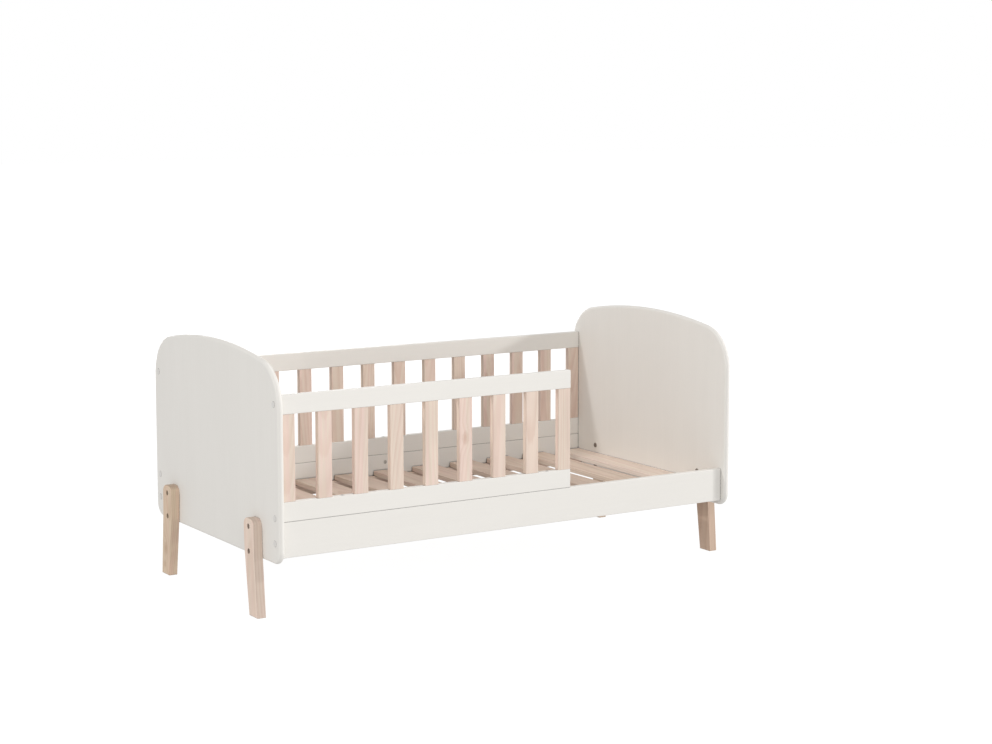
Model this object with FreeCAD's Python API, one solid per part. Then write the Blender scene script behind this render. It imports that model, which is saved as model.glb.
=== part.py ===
"""Toddler bed: two rounded end panels on four splayed legs, joined by side rails that carry a
slatted base, with a full guard along the back and a partial guard along the front.

Millimetres. +X runs from the left end panel to the right one, -Y is the front, +Z is up.
The origin is on the floor, under the middle of the bed.
"""

import FreeCAD, Part
import math
import os

V = FreeCAD.Vector
X_AXIS, Y_AXIS, Z_AXIS = V(1, 0, 0), V(0, 1, 0), V(0, 0, 1)

# The well that holds a 1400 x 700 mattress
WELL_LENGTH = 1408.0
WELL_WIDTH = 708.0

# End panels
PANEL_THICK = 16.0
PANEL_OVERHANG = 18.0  # how far a panel reaches past the rails, front and back
PANEL_BOTTOM = 150.0
PANEL_TOP = 692.0
PANEL_CROWN_RADIUS = 1700.0
PANEL_SHOULDER_RADIUS = 118.0
PANEL_FOOT_RADIUS = 36.0
PANEL_EDGE_ROUND = 7.5

# Side rails and guards
RAIL_THICK = 18.0
RAIL_ROUND = 2.0
RAIL_END_ROUND = 1.5
SIDE_RAIL_BOTTOM = 165.0
SIDE_RAIL_TOP = 258.0
GUARD_LOW_TOP = 309.5
GUARD_HIGH_BOTTOM = 534.0
GUARD_HIGH_TOP = 584.0
GUARD_SLAT_WIDTH = 40.0
GUARD_SLAT_THICK = 16.0
GUARD_SLAT_ROUND = 2.0
BACK_SLATS = 14
FRONT_SLATS = 9

# Legs, given as distances from the bed's middle line at the top, the knee and the foot
LEG_THICK = 25.0
LEG_TOP = 255.0
LEG_KNEE = 165.0
LEG_OUTER_TOP, LEG_OUTER_KNEE, LEG_OUTER_FOOT = 288.0, 291.0, 305.0
LEG_INNER_TOP, LEG_INNER_KNEE, LEG_INNER_FOOT = 230.0, 235.0, 258.0
LEG_TOP_ROUND = 20.0
LEG_EDGE_ROUND = 2.5
LEG_BOLT_OFFSET = 260.0
LEG_BOLT_HEIGHTS = (169.0, 234.0)

# Slatted base
BED_SLATS = 11
BED_SLAT_WIDTH = 80.0
BED_SLAT_THICK = 15.0
BED_SLAT_TOP = 211.0
BED_SLAT_END_GAP = 2.0
BED_SLAT_ROUND = 2.0
LEDGER_WIDTH = 20.0
LEDGER_HEIGHT = 30.0
LEDGER_END_GAP = 4.0
LEDGER_ROUND = 1.5

# Fasteners: M6 furniture bolts, wood screws and dowels
BOLT_RADIUS = 3.0
BOLT_HEAD_RADIUS = 6.0
BOLT_HEAD_HEIGHT = 3.2
BOLT_HEAD_ROUND = 0.8
BOLT_LENGTH = 55.0
HEX_SOCKET_RADIUS = 2.4
HEX_SOCKET_DEPTH = 2.0
CLEARANCE = 0.4  # radial, round every shank, nut and dowel
BARREL_RADIUS = 5.0
BARREL_LENGTH = 14.0
BARREL_FROM_END = 36.0
BARREL_END_ROOM = 0.5
RAIL_BORE_DEPTH = 50.0
CAP_RADIUS = 8.2
CAP_THICK = 2.0
CAP_PROUD = 0.8
CAP_ROUND = 0.7
COUNTERBORE_RADIUS = 8.6
COUNTERBORE_DEPTH = 5.0
FRAME_BOLT_HEIGHTS = {"side": 204.0, "guard_low": 269.0, "guard_high": 561.0}
SLEEVE_RADIUS = 4.5
SLEEVE_LENGTH = 12.0
SLEEVE_HEAD_RADIUS = 7.0
SLEEVE_HEAD_HEIGHT = 1.5
SLEEVE_FLOOR = 1.5
SLEEVE_SOCKET_RADIUS = 3.0
SLEEVE_SOCKET_DEPTH = 1.8
LEG_BORE_RADIUS = 7.2
LEG_BORE_DEPTH = 7.0
LEG_BOLT_STOP = 2.0  # how far the bolt's end stays inside the panel's inner face
TIE_NUT_HEIGHT = 234.0
TIE_BOLT_END = 227.0
TIE_BORE_DEPTH = 8.0
DOWEL_RADIUS = 4.0
DOWEL_LENGTH = 30.0
DOWEL_END_ROOM = 1.0
SCREW_RADIUS = 2.0
SCREW_HEAD_RADIUS = 4.0
SCREW_TIP_RADIUS = 0.4
SCREW_SOCKET_RADIUS = 1.6
SCREW_SOCKET_DEPTH = 1.2
SLAT_SCREW_LENGTH = 30.0
LEDGER_SCREW_LENGTH = 34.0
LEDGER_SCREW_HEIGHT = 181.0
LEDGER_SCREW_GAPS = (0, 3, 6, 9)  # which gaps between bed slats hold a ledger screw

# Worked out from the dimensions above
PANEL_INNER = WELL_LENGTH / 2
PANEL_OUTER = PANEL_INNER + PANEL_THICK
LEG_OUTER = PANEL_OUTER + LEG_THICK
RAIL_INNER = WELL_WIDTH / 2
RAIL_OUTER = RAIL_INNER + RAIL_THICK
RAIL_MIDDLE = RAIL_INNER + RAIL_THICK / 2
PANEL_HALF_WIDTH = RAIL_OUTER + PANEL_OVERHANG
GUARD_PITCH = (WELL_LENGTH - GUARD_SLAT_WIDTH) / (BACK_SLATS - 1)
FRONT_GUARD_LENGTH = (FRONT_SLATS - 1) * GUARD_PITCH + GUARD_SLAT_WIDTH
FRONT_GUARD_END = FRONT_GUARD_LENGTH - PANEL_INNER
BED_PITCH = (WELL_LENGTH - BED_SLAT_WIDTH) / (BED_SLATS - 1)
BED_SLAT_BOTTOM = BED_SLAT_TOP - BED_SLAT_THICK
LEDGER_MIDDLE = RAIL_INNER - LEDGER_WIDTH / 2
FRONT, BACK = -1, 1
LEFT, RIGHT = -1, 1
FIRST_GUARD_GAP = (GUARD_SLAT_WIDTH + GUARD_PITCH) / 2 - PANEL_INNER
FRONT_TIE_BOLTS = tuple(FIRST_GUARD_GAP + gap * GUARD_PITCH for gap in (1, 7))
BACK_TIE_BOLTS = (0.0,)


# ---------------------------------------------------------------- shape helpers


def block(x0, x1, y0, y1, z0, z1):
    return Part.makeBox(x1 - x0, y1 - y0, z1 - z0, V(x0, y0, z0))


def rounded(shape, axis, radius):
    """Round the straight edges that run along one axis."""
    edges = [e for e in shape.Edges if abs(abs(e.tangentAt(e.FirstParameter).dot(axis)) - 1) < 1e-6]
    return shape.makeFillet(radius, edges)


def rod(start, direction, radius, length):
    return Part.makeCylinder(radius, length, start, direction)


def drilled(shape, holes):
    return shape.cut(Part.makeCompound(holes)) if holes else shape


def hex_socket(start, direction, radius=HEX_SOCKET_RADIUS, depth=HEX_SOCKET_DEPTH):
    """A six-sided pocket that runs along the given direction."""
    across = Y_AXIS if abs(direction.dot(Y_AXIS)) < 0.5 else X_AXIS
    up = direction.cross(across)
    corners = []
    for i in range(7):
        turn = math.radians(60 * i)
        corners.append(start + across * (radius * math.cos(turn)) + up * (radius * math.sin(turn)))
    return Part.Face(Part.makePolygon(corners)).extrude(direction * depth)


def bolt(seat, direction, length):
    """A bolt whose head sits on the seat and whose shank runs along the direction."""
    head = rod(seat, direction * -1, BOLT_HEAD_RADIUS, BOLT_HEAD_HEIGHT)
    rim = [e for e in head.Edges if e.CenterOfMass.distanceToPoint(seat) > BOLT_HEAD_HEIGHT / 2]
    head = head.makeFillet(BOLT_HEAD_ROUND, rim)
    whole = head.fuse(rod(seat, direction, BOLT_RADIUS, length)).removeSplitter()
    top = seat - direction * BOLT_HEAD_HEIGHT
    return whole.cut(hex_socket(top, direction))


def screw(surface, direction, length):
    """A countersunk wood screw whose flat head ends at the surface."""
    cone = SCREW_HEAD_RADIUS - SCREW_RADIUS
    point = 2 * SCREW_RADIUS
    head = Part.makeCone(SCREW_HEAD_RADIUS, SCREW_RADIUS, cone, surface, direction)
    shank = rod(surface + direction * cone, direction, SCREW_RADIUS, length - cone - point)
    tip_start = surface + direction * (length - point)
    tip = Part.makeCone(SCREW_RADIUS, SCREW_TIP_RADIUS, point, tip_start, direction)
    whole = head.fuse([shank, tip]).removeSplitter()
    return whole.cut(hex_socket(surface, direction, SCREW_SOCKET_RADIUS, SCREW_SOCKET_DEPTH))


def screw_hole(surface, direction, length):
    cone = SCREW_HEAD_RADIUS - SCREW_RADIUS
    sink = Part.makeCone(SCREW_HEAD_RADIUS + CLEARANCE, SCREW_RADIUS + CLEARANCE, cone, surface, direction)
    return sink.fuse(rod(surface, direction, SCREW_RADIUS + CLEARANCE, length + 1))


def barrel_nut(centre, cross, bolt_direction):
    """A cross dowel: a short round bar with a bolt hole through its side."""
    bar = rod(centre - cross * (BARREL_LENGTH / 2), cross, BARREL_RADIUS, BARREL_LENGTH)
    reach = 2 * BARREL_RADIUS
    return bar.cut(rod(centre - bolt_direction * reach, bolt_direction, BOLT_RADIUS + CLEARANCE, 2 * reach))


def barrel_hole(centre, cross):
    """The pocket for a cross dowel, open on the side that cross points to."""
    start = centre - cross * (BARREL_LENGTH / 2 + BARREL_END_ROOM)
    return rod(start, cross, BARREL_RADIUS + CLEARANCE, BARREL_LENGTH + RAIL_THICK / 2)


# ---------------------------------------------------------------- where fasteners go


def frame_bolt_places():
    """(end, side, height) of each bolt that joins a rail to an end panel."""
    for end in (LEFT, RIGHT):
        for side in (FRONT, BACK):
            for rail, height in FRAME_BOLT_HEIGHTS.items():
                if rail == "side" or side == BACK or end == LEFT:
                    yield end, side, height


def rail_end_holes(side, heights, ends):
    """Bolt holes and cross dowel pockets at the ends of a rail."""
    holes = []
    for end in ends:
        for height in heights:
            mouth = V(end * (PANEL_INNER + 1), side * RAIL_MIDDLE, height)
            holes.append(rod(mouth, X_AXIS * -end, BOLT_RADIUS + CLEARANCE, RAIL_BORE_DEPTH))
            centre = V(end * (PANEL_INNER - BARREL_FROM_END), side * RAIL_MIDDLE, height)
            holes.append(barrel_hole(centre, Y_AXIS))
    return holes


def guard_slat_start(index):
    return index * GUARD_PITCH - PANEL_INNER


def bed_slat_start(index):
    return index * BED_PITCH - PANEL_INNER


def dowel_rods(side, count, radius, slack):
    """The dowels of a guard's slats, two to a slat, or the holes for them."""
    rods = []
    for index in range(count):
        x = guard_slat_start(index) + GUARD_SLAT_WIDTH / 2
        for seam in (GUARD_LOW_TOP, GUARD_HIGH_BOTTOM):
            start = V(x, side * RAIL_MIDDLE, seam - DOWEL_LENGTH / 2 - slack)
            rods.append(rod(start, Z_AXIS, radius, DOWEL_LENGTH + 2 * slack))
    return rods


def dowel_holes(side, count):
    return dowel_rods(side, count, DOWEL_RADIUS + CLEARANCE, DOWEL_END_ROOM)


def ledger_screw_starts(side):
    for gap in LEDGER_SCREW_GAPS:
        x = bed_slat_start(gap) + BED_SLAT_WIDTH / 2 + BED_PITCH / 2
        yield V(x, side * (RAIL_INNER - LEDGER_WIDTH), LEDGER_SCREW_HEIGHT)


def slat_screw_start(index, side):
    return V(bed_slat_start(index) + BED_SLAT_WIDTH / 2, side * LEDGER_MIDDLE, BED_SLAT_TOP)


# ---------------------------------------------------------------- end panels and legs


def panel_outline():
    """The panel's outline: a gently crowned top, round shoulders and small round lower corners."""
    w, low = PANEL_HALF_WIDTH, PANEL_BOTTOM
    crown_centre = PANEL_TOP - PANEL_CROWN_RADIUS
    shoulder_y = w - PANEL_SHOULDER_RADIUS
    reach = PANEL_CROWN_RADIUS - PANEL_SHOULDER_RADIUS
    shoulder_z = crown_centre + math.sqrt(reach**2 - shoulder_y**2)
    lean = math.atan2(shoulder_y, shoulder_z - crown_centre)

    def shoulder(side, angle):
        return V(
            0,
            side * (shoulder_y + PANEL_SHOULDER_RADIUS * math.sin(angle)),
            shoulder_z + PANEL_SHOULDER_RADIUS * math.cos(angle),
        )

    def corner(side, angle):
        centre_y, centre_z = w - PANEL_FOOT_RADIUS, low + PANEL_FOOT_RADIUS
        return V(
            0,
            side * (centre_y + PANEL_FOOT_RADIUS * math.sin(angle)),
            centre_z - PANEL_FOOT_RADIUS * math.cos(angle),
        )

    quarter = math.pi / 2
    middle = (lean + quarter) / 2
    parts = [
        Part.Arc(shoulder(FRONT, lean), V(0, 0, PANEL_TOP), shoulder(BACK, lean)),
        Part.Arc(shoulder(BACK, lean), shoulder(BACK, middle), shoulder(BACK, quarter)),
        Part.LineSegment(shoulder(BACK, quarter), corner(BACK, quarter)),
        Part.Arc(corner(BACK, quarter), corner(BACK, quarter / 2), corner(BACK, 0)),
        Part.LineSegment(corner(BACK, 0), corner(FRONT, 0)),
        Part.Arc(corner(FRONT, 0), corner(FRONT, quarter / 2), corner(FRONT, quarter)),
        Part.LineSegment(corner(FRONT, quarter), shoulder(FRONT, quarter)),
        Part.Arc(shoulder(FRONT, quarter), shoulder(FRONT, middle), shoulder(FRONT, lean)),
    ]
    return Part.Wire([p.toShape() for p in parts])


def end_panel(end):
    inner, outer = end * PANEL_INNER, end * PANEL_OUTER
    board = Part.Face(panel_outline()).extrude(V(PANEL_THICK, 0, 0))
    board.translate(V(min(inner, outer), 0, 0))
    rims = [e for e in board.Edges if abs(e.BoundBox.XLength) < 1e-3]
    board = board.makeFillet(PANEL_EDGE_ROUND, rims)
    inward = X_AXIS * -end
    holes = []
    for place_end, side, height in frame_bolt_places():
        if place_end == end:
            outside = V(end * (PANEL_OUTER + 1), side * RAIL_MIDDLE, height)
            holes.append(rod(outside, inward, BOLT_RADIUS + CLEARANCE, PANEL_THICK + 2))
            holes.append(rod(outside, inward, COUNTERBORE_RADIUS, COUNTERBORE_DEPTH + 1))
    for side in (FRONT, BACK):
        for height in LEG_BOLT_HEIGHTS:
            outside = V(end * (PANEL_OUTER + 1), side * LEG_BOLT_OFFSET, height)
            holes.append(rod(outside, inward, SLEEVE_RADIUS + CLEARANCE, PANEL_THICK + 2))
    return drilled(board, holes)


def leg(end, side):
    """A board that stands on the panel's outer face and splays towards its foot."""

    def at(distance, height):
        return V(0, side * distance, height)

    points = [
        at(LEG_OUTER_TOP, LEG_TOP),
        at(LEG_OUTER_KNEE, LEG_KNEE),
        at(LEG_OUTER_FOOT, 0),
        at(LEG_INNER_FOOT, 0),
        at(LEG_INNER_KNEE, LEG_KNEE),
        at(LEG_INNER_TOP, LEG_TOP),
    ]
    board = Part.Face(Part.makePolygon(points + points[:1])).extrude(V(LEG_THICK, 0, 0))
    board.translate(V(min(end * PANEL_OUTER, end * LEG_OUTER), 0, 0))
    across = [e for e in board.Edges if abs(e.BoundBox.YLength) < 1e-3 and abs(e.BoundBox.ZLength) < 1e-3]
    board = board.makeFillet(LEG_TOP_ROUND, [e for e in across if e.CenterOfMass.z > LEG_TOP - 1])
    face_x = end * LEG_OUTER
    rim = [e for e in board.Edges if abs(e.BoundBox.XLength) < 1e-3 and abs(e.CenterOfMass.x - face_x) < 1e-3]
    board = board.makeFillet(LEG_EDGE_ROUND, rim)
    holes = []
    for height in LEG_BOLT_HEIGHTS:
        outside = V(end * (LEG_OUTER + 1), side * LEG_BOLT_OFFSET, height)
        holes.append(rod(outside, X_AXIS * -end, BOLT_RADIUS + CLEARANCE, LEG_THICK + 2))
        holes.append(rod(outside, X_AXIS * -end, LEG_BORE_RADIUS, LEG_BORE_DEPTH + 1))
    return drilled(board, holes)


# ---------------------------------------------------------------- rails and guards


def side_rail(side, tie_bolts):
    y0, y1 = sorted((side * RAIL_INNER, side * RAIL_OUTER))
    rail = block(-PANEL_INNER, PANEL_INNER, y0, y1, SIDE_RAIL_BOTTOM, SIDE_RAIL_TOP)
    rail = rounded(rail, X_AXIS, RAIL_ROUND)
    holes = rail_end_holes(side, [FRAME_BOLT_HEIGHTS["side"]], (LEFT, RIGHT))
    for x in tie_bolts:
        mouth = V(x, side * RAIL_MIDDLE, SIDE_RAIL_TOP + 1)
        holes.append(rod(mouth, Z_AXIS * -1, BOLT_RADIUS + CLEARANCE, SIDE_RAIL_TOP - TIE_BOLT_END + 2))
        holes.append(barrel_hole(V(x, side * RAIL_MIDDLE, TIE_NUT_HEIGHT), Y_AXIS * -side))
    for start in ledger_screw_starts(side):
        holes.append(rod(start, Y_AXIS * side, SCREW_RADIUS + CLEARANCE, LEDGER_SCREW_LENGTH + 1))
    return drilled(rail, holes)


def guard_rail(side, z0, z1, x_end, bolt_height):
    """One long rail of a guard, from the left panel to x_end."""
    y0, y1 = sorted((side * RAIL_INNER, side * RAIL_OUTER))
    rail = rounded(block(-PANEL_INNER, x_end, y0, y1, z0, z1), X_AXIS, RAIL_ROUND)
    if x_end < PANEL_INNER:
        rail = rail.makeFillet(RAIL_END_ROUND, [e for e in rail.Edges if e.BoundBox.XMin > x_end - 1e-3])
    count = FRONT_SLATS if side == FRONT else BACK_SLATS
    ends = (LEFT,) if side == FRONT else (LEFT, RIGHT)
    return drilled(rail, rail_end_holes(side, [bolt_height], ends) + dowel_holes(side, count))


def guard_high_rail(side, x_end):
    return guard_rail(side, GUARD_HIGH_BOTTOM, GUARD_HIGH_TOP, x_end, FRAME_BOLT_HEIGHTS["guard_high"])


def guard_low_rail(side, x_end, tie_bolts):
    rail = guard_rail(side, SIDE_RAIL_TOP, GUARD_LOW_TOP, x_end, FRAME_BOLT_HEIGHTS["guard_low"])
    holes = []
    for x in tie_bolts:
        above = V(x, side * RAIL_MIDDLE, GUARD_LOW_TOP + 1)
        holes.append(rod(above, Z_AXIS * -1, BOLT_RADIUS + CLEARANCE, GUARD_LOW_TOP - SIDE_RAIL_TOP + 2))
        holes.append(rod(above, Z_AXIS * -1, BOLT_HEAD_RADIUS + CLEARANCE, TIE_BORE_DEPTH + 1))
    return drilled(rail, holes)


def guard_slat(side, index):
    x = guard_slat_start(index)
    y = side * RAIL_MIDDLE - GUARD_SLAT_THICK / 2
    slat = block(x, x + GUARD_SLAT_WIDTH, y, y + GUARD_SLAT_THICK, GUARD_LOW_TOP, GUARD_HIGH_BOTTOM)
    slat = rounded(slat, Z_AXIS, GUARD_SLAT_ROUND)
    return drilled(slat, dowel_holes(side, index + 1)[-2:])


# ---------------------------------------------------------------- slatted base


def ledger(side):
    y0, y1 = sorted((side * RAIL_INNER, side * (RAIL_INNER - LEDGER_WIDTH)))
    x_end = PANEL_INNER - LEDGER_END_GAP
    strip = block(-x_end, x_end, y0, y1, BED_SLAT_BOTTOM - LEDGER_HEIGHT, BED_SLAT_BOTTOM)
    strip = rounded(strip, X_AXIS, LEDGER_ROUND)
    holes = [screw_hole(start, Y_AXIS * side, LEDGER_SCREW_LENGTH) for start in ledger_screw_starts(side)]
    for index in range(BED_SLATS):
        start = slat_screw_start(index, side)
        holes.append(rod(start, Z_AXIS * -1, SCREW_RADIUS + CLEARANCE, SLAT_SCREW_LENGTH + 1))
    return drilled(strip, holes)


def bed_slat(index):
    x = bed_slat_start(index)
    y = RAIL_INNER - BED_SLAT_END_GAP
    slat = block(x, x + BED_SLAT_WIDTH, -y, y, BED_SLAT_BOTTOM, BED_SLAT_TOP)
    slat = rounded(slat, Y_AXIS, BED_SLAT_ROUND)
    starts = [slat_screw_start(index, side) for side in (FRONT, BACK)]
    return drilled(slat, [screw_hole(start, Z_AXIS * -1, SLAT_SCREW_LENGTH) for start in starts])


# ---------------------------------------------------------------- fasteners


def frame_bolts():
    solids = []
    for end, side, height in frame_bolt_places():
        seat = V(end * (PANEL_OUTER - COUNTERBORE_DEPTH), side * RAIL_MIDDLE, height)
        solids.append(bolt(seat, X_AXIS * -end, BOLT_LENGTH))
    return solids


def frame_barrel_nuts():
    solids = []
    for end, side, height in frame_bolt_places():
        centre = V(end * (PANEL_INNER - BARREL_FROM_END), side * RAIL_MIDDLE, height)
        solids.append(barrel_nut(centre, Y_AXIS, X_AXIS))
    return solids


def bolt_caps():
    """Low round covers over the heads of the frame bolts."""
    solids = []
    for end, side, height in frame_bolt_places():
        base = V(end * (PANEL_OUTER + CAP_PROUD - CAP_THICK), side * RAIL_MIDDLE, height)
        cap = rod(base, X_AXIS * end, CAP_RADIUS, CAP_THICK)
        rim = [e for e in cap.Edges if e.BoundBox.XLength < 1e-3 and abs(e.CenterOfMass.x) > PANEL_OUTER]
        solids.append(cap.makeFillet(CAP_ROUND, rim))
    return solids


def leg_places():
    for end in (LEFT, RIGHT):
        for side in (FRONT, BACK):
            for height in LEG_BOLT_HEIGHTS:
                yield end, side, height


def leg_bolts():
    solids = []
    for end, side, height in leg_places():
        seat = V(end * (LEG_OUTER - LEG_BORE_DEPTH), side * LEG_BOLT_OFFSET, height)
        length = LEG_OUTER - LEG_BORE_DEPTH - PANEL_INNER - LEG_BOLT_STOP
        solids.append(bolt(seat, X_AXIS * -end, length))
    return solids


def leg_sleeve_nuts():
    """Flanged nuts let into the inner face of the panels."""
    solids = []
    for end, side, height in leg_places():
        face = V(end * PANEL_INNER, side * LEG_BOLT_OFFSET, height)
        inward, outward = X_AXIS * -end, X_AXIS * end
        flange = rod(face, inward, SLEEVE_HEAD_RADIUS, SLEEVE_HEAD_HEIGHT)
        nut = flange.fuse(rod(face, outward, SLEEVE_RADIUS, SLEEVE_LENGTH)).removeSplitter()
        nut = nut.cut(rod(face + outward * SLEEVE_FLOOR, outward, BOLT_RADIUS + CLEARANCE, SLEEVE_LENGTH))
        top = face + inward * SLEEVE_HEAD_HEIGHT
        solids.append(nut.cut(hex_socket(top, outward, SLEEVE_SOCKET_RADIUS, SLEEVE_SOCKET_DEPTH)))
    return solids


def tie_places():
    return [(x, FRONT) for x in FRONT_TIE_BOLTS] + [(x, BACK) for x in BACK_TIE_BOLTS]


def guard_tie_bolts():
    """Upright bolts that draw each guard down on its side rail."""
    solids = []
    for x, side in tie_places():
        seat = V(x, side * RAIL_MIDDLE, GUARD_LOW_TOP - TIE_BORE_DEPTH)
        solids.append(bolt(seat, Z_AXIS * -1, seat.z - TIE_BOLT_END))
    return solids


def guard_tie_nuts():
    solids = []
    for x, side in tie_places():
        centre = V(x, side * RAIL_MIDDLE, TIE_NUT_HEIGHT)
        solids.append(barrel_nut(centre, Y_AXIS, Z_AXIS))
    return solids


def guard_dowels():
    return dowel_rods(FRONT, FRONT_SLATS, DOWEL_RADIUS, 0) + dowel_rods(BACK, BACK_SLATS, DOWEL_RADIUS, 0)


def slat_screws():
    solids = []
    for index in range(BED_SLATS):
        for side in (FRONT, BACK):
            solids.append(screw(slat_screw_start(index, side), Z_AXIS * -1, SLAT_SCREW_LENGTH))
    return solids


def ledger_screws():
    solids = []
    for side in (FRONT, BACK):
        for start in ledger_screw_starts(side):
            solids.append(screw(start, Y_AXIS * side, LEDGER_SCREW_LENGTH))
    return solids


# ---------------------------------------------------------------- assembly


def bed():
    """Every piece by its node name."""
    pieces = {"end_panel_left": end_panel(LEFT), "end_panel_right": end_panel(RIGHT)}
    for side, side_name in ((FRONT, "front"), (BACK, "back")):
        pieces[f"leg_{side_name}_left"] = leg(LEFT, side)
        pieces[f"leg_{side_name}_right"] = leg(RIGHT, side)
        ties = FRONT_TIE_BOLTS if side == FRONT else BACK_TIE_BOLTS
        x_end = FRONT_GUARD_END if side == FRONT else PANEL_INNER
        count = FRONT_SLATS if side == FRONT else BACK_SLATS
        pieces[f"{side_name}_side_rail"] = side_rail(side, ties)
        pieces[f"{side_name}_guard_top_rail"] = guard_high_rail(side, x_end)
        pieces[f"{side_name}_guard_bottom_rail"] = guard_low_rail(side, x_end, ties)
        for index in range(count):
            pieces[f"{side_name}_guard_slat_{index + 1:02d}"] = guard_slat(side, index)
        pieces[f"slat_ledger_{side_name}"] = ledger(side)
    for index in range(BED_SLATS):
        pieces[f"bed_slat_{index + 1:02d}"] = bed_slat(index)
    groups = {
        "frame_bolts": frame_bolts(),
        "frame_barrel_nuts": frame_barrel_nuts(),
        "bolt_caps": bolt_caps(),
        "leg_bolts": leg_bolts(),
        "leg_sleeve_nuts": leg_sleeve_nuts(),
        "guard_tie_bolts": guard_tie_bolts(),
        "guard_tie_nuts": guard_tie_nuts(),
        "guard_dowels": guard_dowels(),
        "slat_screws": slat_screws(),
        "ledger_screws": ledger_screws(),
    }
    for name, solids in groups.items():
        pieces[name] = Part.makeCompound(solids)
    return pieces


os.makedirs("parts", exist_ok=True)
for name, shape in bed().items():
    shape.exportStep(f"parts/{name}.step")
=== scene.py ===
"""The looks of the toddler bed: its materials, floor, lights and camera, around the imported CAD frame.

Everything is in metres in the CAD's own frame: +X runs along the bed to the right, the front faces -Y and
+Z is up. Every board and fastener is a CAD node that keeps its shape. Each board gets its own material here,
and the fasteners share a few.
"""

import math
import random

import bpy
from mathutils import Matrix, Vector


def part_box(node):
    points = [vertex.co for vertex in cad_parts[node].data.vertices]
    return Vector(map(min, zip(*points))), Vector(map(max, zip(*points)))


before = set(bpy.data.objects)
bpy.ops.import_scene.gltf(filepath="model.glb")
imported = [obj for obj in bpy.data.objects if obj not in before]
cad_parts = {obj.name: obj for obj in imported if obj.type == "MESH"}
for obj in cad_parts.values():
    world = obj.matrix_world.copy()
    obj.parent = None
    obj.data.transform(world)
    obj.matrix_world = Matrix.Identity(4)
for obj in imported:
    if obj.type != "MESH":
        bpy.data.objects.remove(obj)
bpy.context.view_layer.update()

MM = 0.001

# Camera, where the photographer stood: lens and sensor in mm, shift as a share of the picture's width
CAMERA_PLACE = (-2.99625, -5.01971, 1.35460)
CAMERA_TURN = math.radians(32.246)  # from +Y towards +X
CAMERA_TILT = math.radians(6.975)  # below the horizon
CAMERA_LENS = 75.331
CAMERA_SENSOR = 36.0
CAMERA_SHIFT_Y = -0.03226
CAMERA_REACH = 200.0  # nothing further away is drawn

# Lights
AIM = Vector((0.0, 0.0, 0.35))
FAR_LIGHT = 12.0  # far enough for the hard lights to fall evenly, like window light
BACKDROP = 1.0  # how bright the studio's far wall looks
SKY_LIGHT = 0.53  # how much light comes back from it
FLOOR_LIGHT = 0.58  # how much light the floor throws back on the bed

# Floor
FLOOR_SIZE = 60.0
FLOOR_GREY = 0.12
FLOOR_ROUGHNESS = 0.9
DIM_SHARE = 0.25  # what is left of the floor's light under the bed
DIM_REACH = (0.45, 0.15, 0.0)  # how far from the middle the floor is at its dimmest, along and across the bed
DIM_FADE = 0.3  # over what distance it comes back to full light
GLOW_NEAR, GLOW_FAR = 0.945, 1.0  # how bright the floor looks beside the bed and far off
GLOW_START, GLOW_END = 1.6, 5.0  # how far from the middle one turns into the other

# Tones of a board's ends and edges against its broad faces. FACING is how squarely a face has to look along
# or across the board for its tone to start changing, and to be changed in full.
END_GRAIN_SHADE = 0.72
GUARD_EDGE_SHADE = {"front": 1.1, "back": 0.85}
END_FACING, EDGE_FACING = (0.45, 0.95), (0.3, 0.9)

# Painted shade in the seams between boards, darker where ambient occlusion finds a spot less open. Openness
# is 1 on flat wood and 0.5 in an inner corner.
SEAM_REACH = 6 * MM
SEAM_SHADE = 0.1  # what is left of the colour in the deepest seam
SEAM_DEEP = 0.2  # the openness that takes all the shade
SEAM_LIT = 0.6  # the openness that takes none
# Rails and caps also take painted shade along their rounded rims
RIM_SEAM_LIT = 0.96  # the same on rails and caps, which also darken along their rims

# What most values of a noise texture lie between
NOISE_LOW, NOISE_HIGH = 0.3, 0.7

# Growth rings. Noise scales are per metre across, through and along the board, and WAVER and RIPPLE are how
# far those two noises shift a ring.
WAVER_SCALES, WAVER = (9.0, 9.0, 1.6), 9 * MM
RIPPLE_SCALES, RIPPLE = (160.0, 160.0, 9.0), 0.7 * MM
FIBRE_SCALES, BLOTCH_SCALES, BAND_SCALES = (1500.0, 1500.0, 30.0), (26.0, 26.0, 5.0), (85.0, 85.0, 1.8)
LATE_START, LATE_FULL, LATE_END = 0.25, 0.82, 0.88  # where a ring's late wood starts, is full and fades
FAINTEST_YEAR = 0.45  # the late wood of the faintest ring against the boldest
BAND_EDGES = (0.38, 0.62)  # between which noise values a cream band turns rosy
ROSY_GREEN, ROSY_BLUE = 0.055, 0.02  # how much green and blue a fully pink band loses
CLOUD_TONES, FIBRE_TONES = (0.95, 1.04), (0.95, 1.05)  # from the darkest blotches and fibres to the lightest

# Knots, in knot radii from their centre
KNOT_SHAPE = (1.0, 0.15, 0.55)  # straight through the board and drawn out along it
KNOT_SCALE, KNOT_WOBBLE = 110.0, 0.25  # the noise that makes its outline uneven
CORE_FADE = (0.25, 1.25)
RIM_INNER, RIM_OUTER = (0.6, 0.9), (0.95, 1.4)  # where the rim fades in and where it fades out
BEND_FADE, BEND_MOST = (0.6, 3.2), 0.9  # how far off it bends the growth rings, and by how many of them
CORE_STRENGTH, RIM_STRENGTH = 0.45, 0.12

# Roughness, from the glossiest spots to the dullest
LACQUER_ROUGHNESS, PINE_ROUGHNESS, PLASTIC_ROUGHNESS = (0.36, 0.56), (0.52, 0.74), (0.3, 0.45)
METAL_POLISH = 0.1  # how far a metal's roughness strays either way

# Stains on metal: between which noise values they fade out, and their tone
STAIN_EDGES, STAIN_TONE = (0.35, 0.7), 0.78

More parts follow.
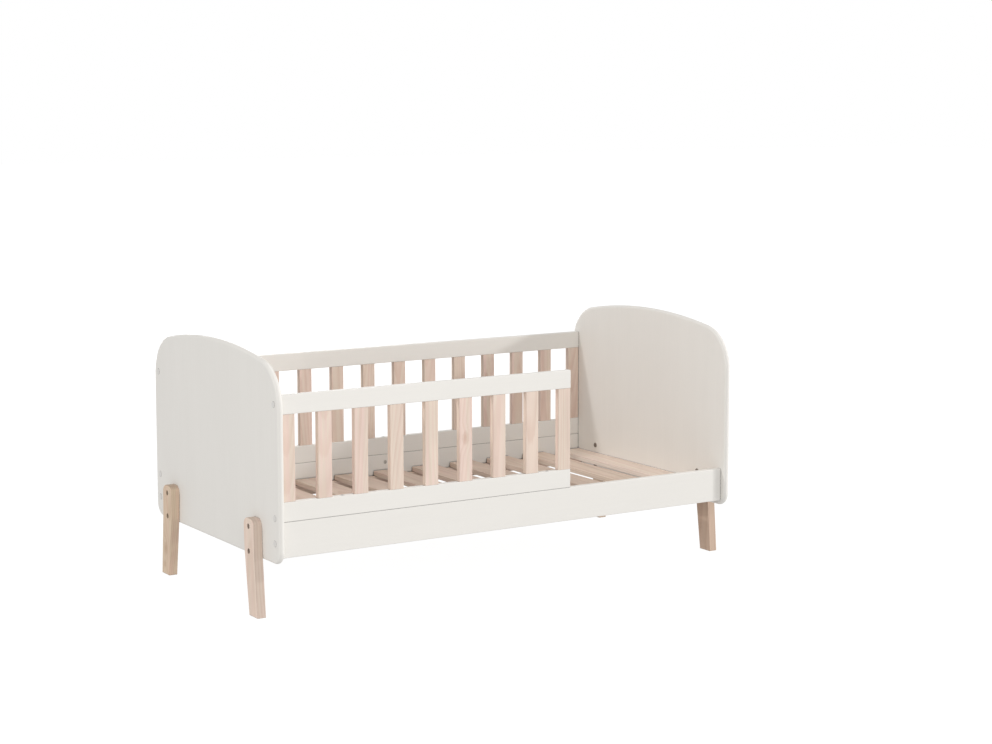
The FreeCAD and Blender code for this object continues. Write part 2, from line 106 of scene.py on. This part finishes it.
# Linear colours
LACQUER = (0.81, 0.785, 0.742)
GUARD_LIGHT, GUARD_DARK = (0.767, 0.625, 0.536), (0.634, 0.438, 0.347)
BASE_LIGHT, BASE_DARK = (0.695, 0.547, 0.456), (0.506, 0.347, 0.266)
LEG_LIGHT, LEG_DARK = (0.74, 0.58, 0.46), (0.55, 0.37, 0.26)
BEECH_LIGHT, BEECH_DARK = (0.62, 0.42, 0.26), (0.50, 0.31, 0.18)
BRONZE, ZINC = (0.30, 0.255, 0.22), (0.66, 0.64, 0.60)
WHITE = (1.0, 1.0, 1.0, 1.0)

# Shares of a colour's red, green and blue
STREAK_FADES = (0.9, 1.0, 1.2)  # how much of each the wood's streaks take from the lacquer
CREAM = (0.99, 1.02, 1.0)
KNOT_HEART, KNOT_BARK = (0.80, 0.72, 0.64), (0.62, 0.52, 0.44)
CAP_DULL, CAP_BRIGHT = (0.85, 0.85, 0.86), (0.94, 0.94, 0.95)  # of the lacquer's colour
UNTINTED = (1.0, 1.0, 1.0)


# ---------------------------------------------------------------- node graphs


class Graph:
    """Adds linked nodes to one node tree. An input may be a socket or a plain value."""

    def __init__(self, tree):
        self.tree = tree

    def feed(self, socket, value):
        if isinstance(value, bpy.types.NodeSocket):
            self.tree.links.new(value, socket)
        else:
            socket.default_value = value

    def node(self, kind, inputs=None, **settings):
        made = self.tree.nodes.new(kind)
        for name, value in settings.items():
            setattr(made, name, value)
        for name, value in (inputs or {}).items():
            self.feed(made.inputs[name], value)
        return made

    def math(self, operation, *values):
        made = self.node("ShaderNodeMath", operation=operation)
        for socket, value in zip(made.inputs, values):
            self.feed(socket, value)
        return made.outputs[0]

    def vector(self, operation, *values):
        made = self.node("ShaderNodeVectorMath", operation=operation)
        for socket, value in zip(made.inputs, values):
            self.feed(socket, value)
        return made.outputs["Value" if operation in ("LENGTH", "DOT_PRODUCT") else "Vector"]

    def split(self, vector):
        return self.node("ShaderNodeSeparateXYZ", {"Vector": vector}).outputs[:]

    def join(self, x, y, z):
        return self.node("ShaderNodeCombineXYZ", {"X": x, "Y": y, "Z": z}).outputs[0]

    def ease(self, value, start, end, low=0.0, high=1.0):
        """A smooth step from low at start to high at end."""
        inputs = {"Value": value, "From Min": start, "From Max": end, "To Min": low, "To Max": high}
        return self.node("ShaderNodeMapRange", inputs, interpolation_type="SMOOTHSTEP").outputs["Result"]

    def spread(self, value, low, high):
        """Maps a 0 to 1 value evenly onto low to high."""
        inputs = {"Value": value, "To Min": low, "To Max": high}
        return self.node("ShaderNodeMapRange", inputs).outputs["Result"]

    def weigh(self, first, share, second):
        """A share of the first value and the rest from the second."""
        rest = self.math("MULTIPLY", second, 1.0 - share)
        return self.math("ADD", self.math("MULTIPLY", first, share), rest)

    def noise(self, vector, scale, detail=2.0, roughness=0.5):
        inputs = {"Vector": vector, "Scale": scale, "Detail": detail, "Roughness": roughness}
        return self.node("ShaderNodeTexNoise", inputs).outputs["Fac"]

    def stretched(self, vector, stretch, scale=1.0, detail=2.0, roughness=0.5):
        """Noise whose scale is multiplied by stretch along each axis."""
        return self.noise(self.vector("MULTIPLY", vector, stretch), scale, detail, roughness)

    def mix(self, factor, first, second, blend="MIX"):
        """Mixes two colours. A Mix node's inputs 6 and 7 and its output 2 are the ones for colours."""
        made = self.node("ShaderNodeMix", data_type="RGBA", blend_type=blend)
        self.feed(made.inputs["Factor"], factor)
        self.feed(made.inputs[6], first)
        self.feed(made.inputs[7], second)
        return made.outputs[2]

    def shaded(self, colour, shade):
        """The colour times a plain number."""
        return self.mix(1.0, colour, self.join(shade, shade, shade), "MULTIPLY")

    def place(self, centre, axes):
        """Object coordinates from a centre, reordered so that they run across, through and along a board."""
        coordinate = self.node("ShaderNodeTexCoord").outputs["Object"]
        parts = self.split(self.vector("SUBTRACT", coordinate, tuple(centre)))
        return self.join(*[parts["XYZ".index(axis)] for axis in axes])


def rgba(colour):
    return (*colour, 1.0)


def tinted(colour, tone):
    return tuple(channel * factor for channel, factor in zip(colour, tone))


def scaled(colour, factor):
    return tuple(channel * factor for channel in colour)


def new_group(name, inputs, outputs):
    """An empty node group, its graph, its input sockets and its output node."""
    group = bpy.data.node_groups.new(name, "ShaderNodeTree")
    for label, kind in inputs:
        group.interface.new_socket(label, in_out="INPUT", socket_type=kind)
    for label, kind in outputs:
        group.interface.new_socket(label, in_out="OUTPUT", socket_type=kind)
    graph = Graph(group)
    return group, graph, graph.node("NodeGroupInput").outputs, graph.node("NodeGroupOutput").inputs


def pine_grain_group():
    """Growth rings round a pith line that lies near the board, cut by the board as a saw would cut them.

    Place is across, through and along the board. Pith is where the ring centre passes the board's middle,
    and Lean is how far it wanders sideways for each metre along. Bend pushes the rings round a knot.
    """
    group, g, given, out = new_group(
        "pine_grain",
        [
            ("Place", "NodeSocketVector"),
            ("Seed", "NodeSocketFloat"),
            ("Pith", "NodeSocketVector"),
            ("Lean", "NodeSocketVector"),
            ("Ring", "NodeSocketFloat"),
            ("Bend", "NodeSocketFloat"),
        ],
        [(label, "NodeSocketFloat") for label in ("Late", "Fibre", "Blotch", "Band")],
    )
    seeded = g.vector("ADD", given["Place"], g.join(given["Seed"], given["Seed"], given["Seed"]))
    across, through, along = g.split(given["Place"])
    drift = g.vector("MULTIPLY", given["Lean"], g.join(along, along, along))
    centre = g.vector("ADD", given["Pith"], drift)
    radial = g.vector("SUBTRACT", g.join(across, through, 0.0), centre)
    reach = g.vector("LENGTH", g.vector("MULTIPLY", radial, (1.0, 1.0, 0.0)))
    waver = g.spread(g.stretched(seeded, WAVER_SCALES), -WAVER, WAVER)
    ripple = g.spread(g.stretched(seeded, RIPPLE_SCALES), -RIPPLE, RIPPLE)
    wandering = g.math("ADD", g.math("ADD", reach, waver), ripple)
    count = g.math("ADD", g.math("DIVIDE", wandering, given["Ring"]), given["Bend"])
    step = g.math("FRACT", count)
    rising = g.ease(step, LATE_START, LATE_FULL)
    falling = g.ease(step, LATE_END, 1.0, 1.0, 0.0)
    year = g.node("ShaderNodeTexWhiteNoise", {"W": g.math("FLOOR", count)}, noise_dimensions="1D")
    boldness = g.spread(year.outputs["Value"], FAINTEST_YEAR, 1.0)
    g.feed(out["Late"], g.math("MULTIPLY", g.math("MULTIPLY", rising, falling), boldness))
    g.feed(out["Fibre"], g.stretched(seeded, FIBRE_SCALES, detail=3.0))
    g.feed(out["Blotch"], g.stretched(seeded, BLOTCH_SCALES))
    g.feed(out["Band"], g.stretched(seeded, BAND_SCALES))
    return group


def pine_knot_group():
    """One branch that runs straight through the board: its core, its rim and how it bends the rings."""
    group, g, given, out = new_group(
        "pine_knot",
        [("Place", "NodeSocketVector"), ("Centre", "NodeSocketVector"), ("Radius", "NodeSocketFloat")],
        [("Core", "NodeSocketFloat"), ("Rim", "NodeSocketFloat"), ("Bend", "NodeSocketFloat")],
    )
    flat = g.vector("MULTIPLY", g.vector("SUBTRACT", given["Place"], given["Centre"]), KNOT_SHAPE)
    wobble = g.spread(g.noise(given["Place"], KNOT_SCALE), -KNOT_WOBBLE, KNOT_WOBBLE)
    distance = g.math("ADD", g.math("DIVIDE", g.vector("LENGTH", flat), given["Radius"]), wobble)
    g.feed(out["Core"], g.ease(distance, *CORE_FADE, 1.0, 0.0))
    inside = g.ease(distance, *RIM_INNER)
    g.feed(out["Rim"], g.math("MULTIPLY", inside, g.ease(distance, *RIM_OUTER, 1.0, 0.0)))
    g.feed(out["Bend"], g.ease(distance, *BEND_FADE, BEND_MOST, 0.0))
    return group


def lacquer_group():
    """Satin lacquer over a board: the grain that shows through, slow cloudiness and a fine orange peel.

    Each noise is drawn out along the board, except the peel, which is the lacquer's own.
    """
    group, g, given, out = new_group(
        "lacquered_board",
        [("Place", "NodeSocketVector")],
        [("Tone", "NodeSocketFloat"), ("Gloss", "NodeSocketFloat"), ("Height", "NodeSocketFloat")],
    )
    place = given["Place"]
    clouds = g.stretched(place, (1.0, 1.0, 0.22), scale=14.0)
    streaks = g.stretched(place, (1.0, 1.0, 0.035), scale=190.0, detail=3.0, roughness=0.6)
    pores = g.stretched(place, (1.0, 1.0, 0.03), scale=1100.0)
    peel = g.noise(place, scale=850.0, detail=1.0)
    grain = g.weigh(streaks, 0.65, pores)
    g.feed(out["Tone"], g.weigh(clouds, 0.45, grain))
    g.feed(out["Gloss"], g.weigh(clouds, 0.5, peel))
    g.feed(out["Height"], g.weigh(grain, 0.8, peel))
    return group


PINE_GRAIN = pine_grain_group()
PINE_KNOT = pine_knot_group()
LACQUERED_BOARD = lacquer_group()


# ---------------------------------------------------------------- materials


def new_material(name):
    """A material with its graph and its shader, ready for links."""
    material = bpy.data.materials.new(name)
    material.use_nodes = True
    graph = Graph(material.node_tree)
    return material, graph, material.node_tree.nodes["Principled BSDF"]


def add_bump(g, shader, height, depth, strength):
    bump = g.node("ShaderNodeBump", {"Height": height, "Distance": depth, "Strength": strength})
    g.feed(shader.inputs["Normal"], bump.outputs["Normal"])


def set_gloss(shader, specular):
    shader.inputs["Specular IOR Level"].default_value = specular


def paint_seam_shade(g, colour, lit=SEAM_LIT):
    """Paints shade into the tight seams where boards meet: the less open a spot, the darker its colour.

    Lit is the openness from which a spot takes no shade.
    """
    openness = g.node("ShaderNodeAmbientOcclusion", {"Distance": SEAM_REACH}, samples=6).outputs["AO"]
    return g.shaded(colour, g.ease(openness, SEAM_DEEP, lit, SEAM_SHADE, 1.0))


def lacquer(name, centre, axes, grain, lit=SEAM_LIT):
    """White lacquer, with painted shade in its seams. Grain is how far apart its darkest and lightest streaks
    are, in shares of its colour.
    """
    material, g, shader = new_material(name)
    board = g.node("ShaderNodeGroup", node_tree=LACQUERED_BOARD)
    g.feed(board.inputs["Place"], g.place(centre, axes))
    darker = tinted(LACQUER, [1.0 - 0.5 * grain * fade for fade in STREAK_FADES])
    lighter = scaled(LACQUER, 1.0 + 0.5 * grain)
    tone = g.ease(board.outputs["Tone"], NOISE_LOW, NOISE_HIGH)
    colour = g.mix(tone, rgba(darker), rgba(lighter))
    # The base colour takes painted shade in the seams
    g.feed(shader.inputs["Base Color"], paint_seam_shade(g, colour, lit))
    g.feed(shader.inputs["Roughness"], g.spread(board.outputs["Gloss"], *LACQUER_ROUGHNESS))
    set_gloss(shader, specular=0.42)
    add_bump(g, shader, board.outputs["Height"], depth=0.03 * MM, strength=0.35)
    return material


def branches(g, place, knots):
    """The bend, core and rim of all the knots in a board together, or nothing if it has none."""
    together = {}
    for across, along, radius in knots:
        inputs = {"Place": place, "Centre": (across, 0.0, along), "Radius": radius}
        knot = g.node("ShaderNodeGroup", node_tree=PINE_KNOT)
        for label, value in inputs.items():
            g.feed(knot.inputs[label], value)
        for label, operation in (("Bend", "ADD"), ("Core", "MAXIMUM"), ("Rim", "MAXIMUM")):
            one = knot.outputs[label]
            together[label] = g.math(operation, together[label], one) if label in together else one
    return together


def pine(name, centre, axes, light, dark, knots=(), contrast=1.0, ring=4.2 * MM, edge=1.0):
    """Bare or whitewashed pine, and with other colours any pale wood with rings.

    Knots are (across, along, radius) from the board's centre. Contrast is how strongly the late wood shows.
    Ring is the width of a growth ring, which varies by board. Edge is the tone of the board's edges against
    its broad faces.
    """
    chance = random.Random(name)
    material, g, shader = new_material(name)
    place = g.place(centre, axes)
    branch = branches(g, place, knots)
    grain = g.node("ShaderNodeGroup", node_tree=PINE_GRAIN)
    side = chance.choice((-1, 1))
    settings = {
        "Place": place,
        "Seed": chance.uniform(0, 40),
        "Pith": (chance.uniform(-0.03, 0.03), side * chance.uniform(0.035, 0.11), 0.0),
        "Lean": (chance.uniform(-0.05, 0.05), chance.uniform(-0.05, 0.05), 0.0),
        "Ring": ring * chance.uniform(0.8, 1.3),
    }
    for label, value in settings.items():
        g.feed(grain.inputs[label], value)
    if branch:
        g.feed(grain.inputs["Bend"], branch["Bend"])

    lift = chance.uniform(0.97, 1.03)
    pink = chance.uniform(-0.3, 0.65)
    late = scaled(dark, lift)
    cream = tinted(scaled(light, lift), CREAM)
    rosy = tinted(scaled(light, lift), (1.01, 1.0 - ROSY_GREEN * pink, 1.0 - ROSY_BLUE * pink))
    early = g.mix(g.ease(grain.outputs["Band"], *BAND_EDGES), rgba(cream), rgba(rosy))
    ringed = g.mix(g.math("MULTIPLY", grain.outputs["Late"], contrast), early, rgba(late))
    cloud = g.spread(g.ease(grain.outputs["Blotch"], NOISE_LOW, NOISE_HIGH), *CLOUD_TONES)
    fibre = g.spread(grain.outputs["Fibre"], *FIBRE_TONES)
    facing = g.split(g.vector("ABSOLUTE", g.node("ShaderNodeTexCoord").outputs["Normal"]))
    end_tone = g.ease(facing["XYZ".index(axes[2])], *END_FACING, 1.0, END_GRAIN_SHADE)
    edge_tone = g.ease(facing["XYZ".index(axes[0])], *EDGE_FACING, 1.0, edge)
    cut = g.math("MULTIPLY", end_tone, edge_tone)
    colour = g.shaded(ringed, g.math("MULTIPLY", g.math("MULTIPLY", cloud, fibre), cut))
    if branch:
        heart, bark = tinted(late, KNOT_HEART), tinted(late, KNOT_BARK)
        colour = g.mix(g.math("MULTIPLY", branch["Core"], CORE_STRENGTH), colour, rgba(heart))
        colour = g.mix(g.math("MULTIPLY", branch["Rim"], RIM_STRENGTH), colour, rgba(bark))
    # The base colour takes painted shade in the seams
    g.feed(shader.inputs["Base Color"], paint_seam_shade(g, colour))
    g.feed(shader.inputs["Roughness"], g.spread(grain.outputs["Fibre"], *PINE_ROUGHNESS))
    set_gloss(shader, specular=0.3)
    height = g.weigh(grain.outputs["Late"], 0.5, grain.outputs["Fibre"])
    add_bump(g, shader, height, depth=0.12 * MM, strength=0.6)
    return material


def metal(name, colour, roughness, metallic):
    """Plated or bronzed steel: a little uneven in tone and polish."""
    material, g, shader = new_material(name)
    coordinate = g.node("ShaderNodeTexCoord").outputs["Object"]
    stain = g.noise(coordinate, scale=260.0, detail=3.0)
    scratch = g.stretched(coordinate, (1.0, 6.0, 6.0), scale=700.0)
    stained = scaled(colour, STAIN_TONE)
    g.feed(shader.inputs["Base Color"], g.mix(g.ease(stain, *STAIN_EDGES), rgba(stained), rgba(colour)))
    g.feed(shader.inputs["Roughness"], g.spread(scratch, roughness - METAL_POLISH, roughness + METAL_POLISH))
    shader.inputs["Metallic"].default_value = metallic
    add_bump(g, shader, scratch, depth=0.02 * MM, strength=0.4)
    return material


def cap_plastic(name):
    """Moulded caps, a touch darker and glossier than the lacquer round them, with painted shade along their
    rims.
    """
    material, g, shader = new_material(name)
    coordinate = g.node("ShaderNodeTexCoord").outputs["Object"]
    speckle = g.noise(coordinate, scale=1400.0)
    dull, bright = tinted(LACQUER, CAP_DULL), tinted(LACQUER, CAP_BRIGHT)
    colour = g.mix(g.ease(speckle, NOISE_LOW, NOISE_HIGH), rgba(dull), rgba(bright))
    # The base colour takes painted shade along the rim and in the seams
    g.feed(shader.inputs["Base Color"], paint_seam_shade(g, colour, RIM_SEAM_LIT))
    g.feed(shader.inputs["Roughness"], g.spread(speckle, *PLASTIC_ROUGHNESS))
    add_bump(g, shader, speckle, depth=0.03 * MM, strength=0.5)
    return material


# ---------------------------------------------------------------- which node gets which material


def centre_of(node):
    low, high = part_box(node)
    return (low + high) / 2


def paint(node, material):
    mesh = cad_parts[node].data
    mesh.materials.clear()
    mesh.materials.append(material)


# Coordinates run across, through and along each kind of board
PANEL_AXES, RAIL_AXES, LEG_AXES = "YXZ", "ZYX", "YXZ"
GUARD_SLAT_AXES, BED_SLAT_AXES, LEDGER_AXES = "XYZ", "XZY", "ZYX"

# How far apart the lacquer's darkest and lightest streaks are, in shares of its colour
PANEL_STREAKS, RAIL_STREAKS = 0.028, 0.02

# Each leg's tone against the others, its edges' tone against its broad faces, and its knots
LEGS = {
    "leg_front_left": ((1.14, 1.16, 1.25), 0.79, []),
    "leg_back_left": ((0.96, 0.95, 0.90), 0.94, [(0.006, -0.052, 9 * MM), (0.014, -0.098, 6 * MM)]),
    "leg_front_right": ((0.90, 0.84, 0.83), 0.91, []),
    "leg_back_right": ((1.00, 0.98, 0.95), 0.90, [(0.002, 0.045, 5 * MM)]),
}

# Knots, as (across, along, radius) from the slat's centre
SLAT_KNOTS = {
    "front_guard_slat_06": [(-0.002, 0.004, 9 * MM)],
    "back_guard_slat_03": [(0.006, -0.031, 5 * MM)],
    "back_guard_slat_11": [(-0.008, 0.045, 6 * MM)],
    "bed_slat_04": [(0.028, 0.285, 6 * MM)],
    "bed_slat_06": [(-0.012, -0.110, 8 * MM)],
    "bed_slat_09": [(0.018, 0.090, 7 * MM)],
    "bed_slat_10": [(-0.020, 0.205, 5 * MM)],
}

# Painted light: the two bed slats beside the right panel are lightened against the rest, for the brighter
# light that falls there
SLAT_PAINTED_LIGHT = {"bed_slat_10": (1.07, 1.08, 1.08), "bed_slat_11": (1.27, 1.36, 1.42)}


def dress(node):
    """The material for one CAD node, by what the node is."""
    middle = centre_of(node)
    if node.startswith("end_panel"):
        return lacquer("lacquer_" + node, middle, PANEL_AXES, PANEL_STREAKS)
    if node.endswith("_rail"):
        # Rails take painted shade along their rounded rims as well as in their seams
        return lacquer("lacquer_" + node, middle, RAIL_AXES, RAIL_STREAKS, RIM_SEAM_LIT)
    name, knots = "pine_" + node, SLAT_KNOTS.get(node, ())
    if node in LEGS:
        tone, edge, knots = LEGS[node]
        light, dark = tinted(LEG_LIGHT, tone), tinted(LEG_DARK, tone)
        return pine(name, middle, LEG_AXES, light, dark, knots, contrast=0.35, ring=6.5 * MM, edge=edge)
    if "guard_slat" in node:
        edge = GUARD_EDGE_SHADE[node.split("_")[0]]
        return pine(name, middle, GUARD_SLAT_AXES, GUARD_LIGHT, GUARD_DARK, knots, contrast=0.38, edge=edge)
    if node.startswith("bed_slat"):
        # Slats 10 and 11 take painted light as a lighter tone
        tone = SLAT_PAINTED_LIGHT.get(node, UNTINTED)
        light, dark = tinted(BASE_LIGHT, tone), tinted(BASE_DARK, tone)
        return pine(name, middle, BED_SLAT_AXES, light, dark, knots, contrast=0.36, ring=6.0 * MM)
    return pine(name, middle, LEDGER_AXES, BASE_LIGHT, BASE_DARK, contrast=0.5)


def dress_bed():
    dark_steel = metal("bronzed_steel", BRONZE, roughness=0.5, metallic=0.5)
    zinc = metal("zinc_plate", ZINC, roughness=0.45, metallic=0.6)
    shared = {
        "leg_bolts": dark_steel,
        "leg_sleeve_nuts": dark_steel,
        "frame_bolts": zinc,
        "frame_barrel_nuts": zinc,
        "guard_tie_bolts": zinc,
        "guard_tie_nuts": zinc,
        "slat_screws": zinc,
        "ledger_screws": zinc,
        "bolt_caps": cap_plastic("cap_plastic"),
        "guard_dowels": pine("beech_dowels", (0, 0, 0), "XYZ", BEECH_LIGHT, BEECH_DARK, ring=1.5 * MM),
    }
    for node in sorted(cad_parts):
        paint(node, shared[node] if node in shared else dress(node))


# ---------------------------------------------------------------- stage


def add_object(name, data):
    made = bpy.data.objects.new(name, data)
    bpy.context.scene.collection.objects.link(made)
    return made


def add_floor():
    half = FLOOR_SIZE / 2
    mesh = bpy.data.meshes.new("floor")
    corners = [(-half, -half, 0), (half, -half, 0), (half, half, 0), (-half, half, 0)]
    mesh.from_pydata(corners, [], [(0, 1, 2, 3)])
    floor = add_object("floor", mesh)
    material, g, shader = new_material("studio_floor")
    shader.inputs["Base Color"].default_value = (FLOOR_GREY, FLOOR_GREY, FLOOR_GREY, 1.0)
    shader.inputs["Roughness"].default_value = FLOOR_ROUGHNESS
    shader.inputs["Emission Color"].default_value = WHITE
    place = g.node("ShaderNodeTexCoord").outputs["Object"]
    beyond = g.vector("SUBTRACT", g.vector("ABSOLUTE", place), DIM_REACH)
    outside = g.vector("LENGTH", g.vector("MAXIMUM", beyond, (0.0, 0.0, 0.0)))
    light = g.ease(outside, 0.0, DIM_FADE, FLOOR_LIGHT * DIM_SHARE, FLOOR_LIGHT)
    glow = g.ease(g.vector("LENGTH", place), GLOW_START, GLOW_END, GLOW_NEAR, GLOW_FAR)
    seen = g.node("ShaderNodeLightPath").outputs["Is Camera Ray"]
    g.feed(shader.inputs["Emission Strength"], g.spread(seen, light, glow))
    set_gloss(shader, specular=0.0)
    mesh.materials.append(material)


def add_light(name, direction, distance, size, power):
    """A rectangular white area light that shines on the bed from one direction. Power is in watts."""
    data = bpy.data.lights.new(name, "AREA")
    data.shape = "RECTANGLE"
    data.size, data.size_y = size
    data.energy = power
    lamp = add_object(name, data)
    lamp.visible_camera = False
    towards = Vector(direction).normalized()
    lamp.location = AIM + towards * distance
    lamp.rotation_euler = (-towards).to_track_quat("-Z", "Y").to_euler()


def add_lights():
    world = bpy.data.worlds.new("studio")
    world.use_nodes = True
    g = Graph(world.node_tree)
    seen = g.node("ShaderNodeLightPath").outputs["Is Camera Ray"]
    background = world.node_tree.nodes["Background"]
    g.feed(background.inputs["Strength"], g.spread(seen, SKY_LIGHT, BACKDROP))
    background.inputs["Color"].default_value = WHITE
    bpy.context.scene.world = world
    # Name, direction from the bed, distance, width and height, power
    add_light("key_right", (1.0, -0.53, 0.466), FAR_LIGHT, (0.7, 0.7), 482)
    add_light("low_right", (1.4, -1.0, 0.10), FAR_LIGHT, (0.7, 1.0), 218)
    add_light("left_behind", (-2.3, 0.375, 1.0), FAR_LIGHT, (0.55, 0.55), 286)
    add_light("front_soft", (-0.5, -1.0, 0.35), 4.0, (2.5, 2.0), 33)
    add_light("top_soft", (0.0, -0.1, 1.0), 3.5, (3.0, 2.5), 22)
    add_light("back_low", (0.25, 1.0, 0.10), 5.0, (2.5, 1.0), 70)


def add_camera():
    data = bpy.data.cameras.new("camera")
    data.sensor_width = CAMERA_SENSOR
    data.lens = CAMERA_LENS
    data.shift_y = CAMERA_SHIFT_Y
    data.clip_end = CAMERA_REACH
    camera = add_object("camera", data)
    camera.location = CAMERA_PLACE
    camera.rotation_euler = (math.pi / 2 - CAMERA_TILT, 0.0, -CAMERA_TURN)
    bpy.context.scene.camera = camera


dress_bed()
add_floor()
add_lights()
add_camera()
bpy.context.scene.view_settings.view_transform = "Standard"
